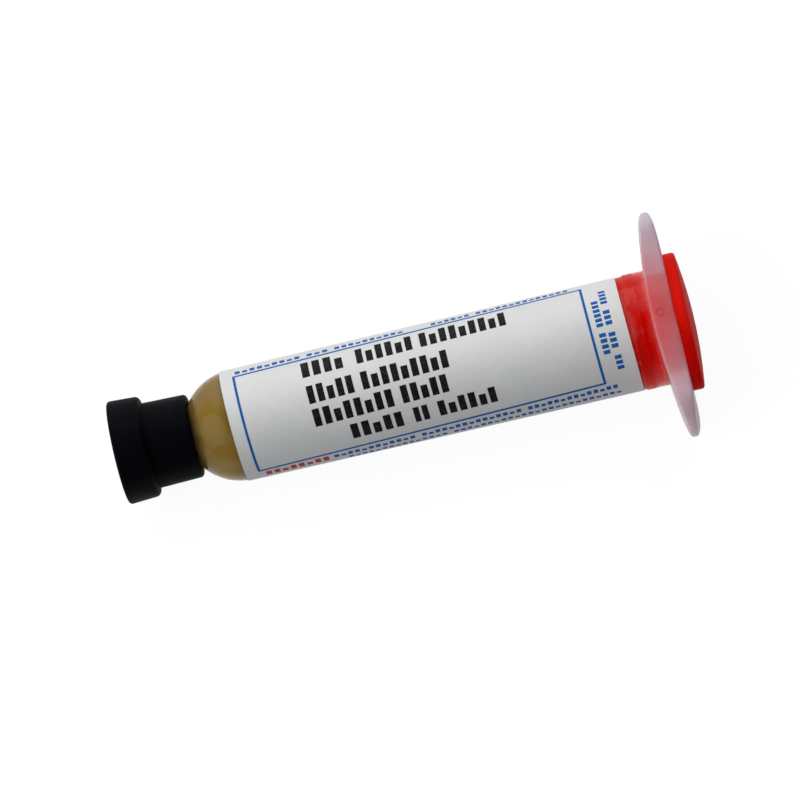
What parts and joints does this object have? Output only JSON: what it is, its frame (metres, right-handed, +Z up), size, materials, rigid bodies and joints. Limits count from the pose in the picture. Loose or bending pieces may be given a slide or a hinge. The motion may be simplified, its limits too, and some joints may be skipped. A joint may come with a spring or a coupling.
{
  "type": "flux syringe",
  "caption": "Prefilled dispensing syringe lying on its side: domed translucent barrel with oval finger flange and luer lock, wiper piston, flux, label, screw-on tip cap and plug-in end cap.",
  "frame": {"origin": "centre of the bounding box on the table that the syringe lies on", "axes": "+X towards the end cap along the barrel as seen from above, tip towards -X and tilted down by about 1.9 degrees; +Y along the finger flange; +Z up"},
  "size_m": [0.0954, 0.0368, 0.0231],
  "materials": {
    "barrel": "moulded natural polypropylene, translucent",
    "label": "coated label paper",
    "tip_cap": "moulded black polypropylene, satin",
    "end_cap": "moulded red polyethylene",
    "piston": "moulded natural polyethylene",
    "flux": "amber rosin gel, wet"
  },
  "bodies": {
    "barrel": {"barrel": "barrel", "label": "label", "flux": "flux"},
    "tip_cap": {"tip_cap": "tip_cap"},
    "end_cap": {"end_cap": "end_cap"},
    "piston": {"piston": "piston"}
  },
  "joints": [
    {"name": "tip_cap_pull", "type": "slide", "parent": "barrel", "child": "tip_cap", "axis": [-0.9994, 0, -0.0338], "range_m": [0, 0.014]},
    {"name": "end_cap_pull", "type": "slide", "parent": "barrel", "child": "end_cap", "axis": [0.9994, 0, 0.0338], "range_m": [0, 0.01]},
    {"name": "piston_slide", "type": "slide", "parent": "barrel", "child": "piston", "axis": [-0.9994, 0, -0.0338], "range_m": [-0.006, 0.049], "deforming": ["flux"]}
  ]
}
